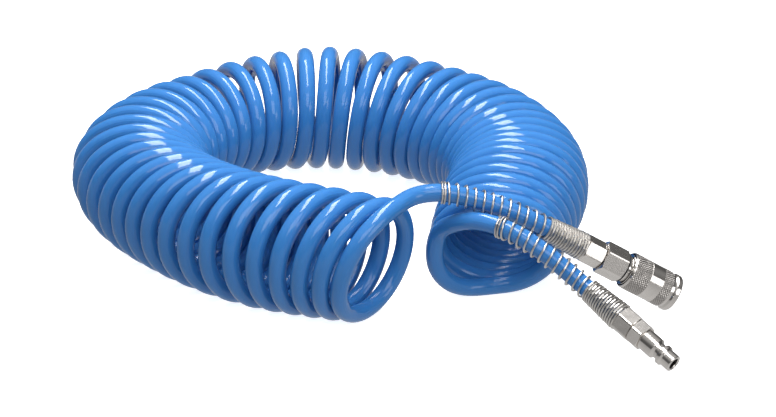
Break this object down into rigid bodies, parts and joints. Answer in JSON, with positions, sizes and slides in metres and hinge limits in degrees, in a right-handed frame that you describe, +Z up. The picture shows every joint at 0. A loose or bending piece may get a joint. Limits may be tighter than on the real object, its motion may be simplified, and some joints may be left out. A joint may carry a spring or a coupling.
{
  "type": "spiral air hose",
  "caption": "Blue recoil air hose curled into an open ring, with a quick-release socket and a plug behind spring bend guards.",
  "frame": {"origin": "under the middle of the bounding box, at the height of the surface that the coil lies on", "axes": "+Z up from that surface; +Y from the fittings across the ring to its far side; +X the way the two fittings point"},
  "size_m": [0.3498, 0.3696, 0.0806],
  "materials": {
    "hose_blue": "glossy polyurethane",
    "nickel": "nickel plate, brushed hexagons and polished bands",
    "spring_wire": "nickel-plated spring wire",
    "steel": "plain spring and ball steel",
    "nitrile": "matt",
    "nylon": "black, satin"
  },
  "bodies": {
    "hose_with_fittings": {"hose_coil": "hose_blue", "hose_lead_socket_end": "hose_blue", "hose_lead_plug_end": "hose_blue", "socket_guard_spring": "spring_wire", "plug_guard_spring": "spring_wire", "socket_clamp_nut": "nickel", "socket_rear_body": "nickel", "socket_body_washer": "nylon", "socket_front_body": "nickel", "socket_plug_seal": "nitrile", "socket_valve_spring": "steel", "sleeve_spring": "steel", "sleeve_snap_ring": "steel", "plug_clamp_nut": "nickel", "plug_nipple": "nickel"},
    "sleeve": {"socket_sleeve": "nickel"},
    "valve": {"socket_valve_poppet": "nickel", "socket_valve_seal": "nitrile"},
    "ball_1": {"locking_ball_1": "steel"},
    "ball_2": {"locking_ball_2": "steel"},
    "ball_3": {"locking_ball_3": "steel"},
    "ball_4": {"locking_ball_4": "steel"},
    "ball_5": {"locking_ball_5": "steel"},
    "ball_6": {"locking_ball_6": "steel"}
  },
  "joints": [
    {"name": "sleeve_slide", "type": "slide", "parent": "hose_with_fittings", "child": "sleeve", "axis": [-0.8413, -0.1544, 0.518], "range_m": [0, 0.004], "stiffness_N_per_m": 1500, "deforming": ["sleeve_spring"]},
    {"name": "valve_slide", "type": "slide", "parent": "hose_with_fittings", "child": "valve", "axis": [-0.8413, -0.1544, 0.518], "range_m": [0, 0.005], "stiffness_N_per_m": 600, "deforming": ["socket_valve_spring"]},
    {"name": "ball_1_slide", "type": "slide", "parent": "hose_with_fittings", "child": "ball_1", "axis": [0.3869, -0.8413, 0.3775], "range_m": [0, 0.0008]},
    {"name": "ball_2_slide", "type": "slide", "parent": "hose_with_fittings", "child": "ball_2", "axis": [-0.1335, -0.8693, -0.4759], "range_m": [0, 0.0008]},
    {"name": "ball_3_slide", "type": "slide", "parent": "hose_with_fittings", "child": "ball_3", "axis": [-0.5204, -0.028, -0.8535], "range_m": [0, 0.0008]},
    {"name": "ball_4_slide", "type": "slide", "parent": "hose_with_fittings", "child": "ball_4", "axis": [-0.3869, 0.8413, -0.3775], "range_m": [0, 0.0008]},
    {"name": "ball_5_slide", "type": "slide", "parent": "hose_with_fittings", "child": "ball_5", "axis": [0.1335, 0.8693, 0.4759], "range_m": [0, 0.0008]},
    {"name": "ball_6_slide", "type": "slide", "parent": "hose_with_fittings", "child": "ball_6", "axis": [0.5204, 0.028, 0.8535], "range_m": [0, 0.0008]}
  ],
  "couplings": [
    {"joint": "ball_1_slide", "follows": "sleeve_slide", "ratio": 0.2},
    {"joint": "ball_2_slide", "follows": "sleeve_slide", "ratio": 0.2},
    {"joint": "ball_3_slide", "follows": "sleeve_slide", "ratio": 0.2},
    {"joint": "ball_4_slide", "follows": "sleeve_slide", "ratio": 0.2},
    {"joint": "ball_5_slide", "follows": "sleeve_slide", "ratio": 0.2},
    {"joint": "ball_6_slide", "follows": "sleeve_slide", "ratio": 0.2}
  ]
}
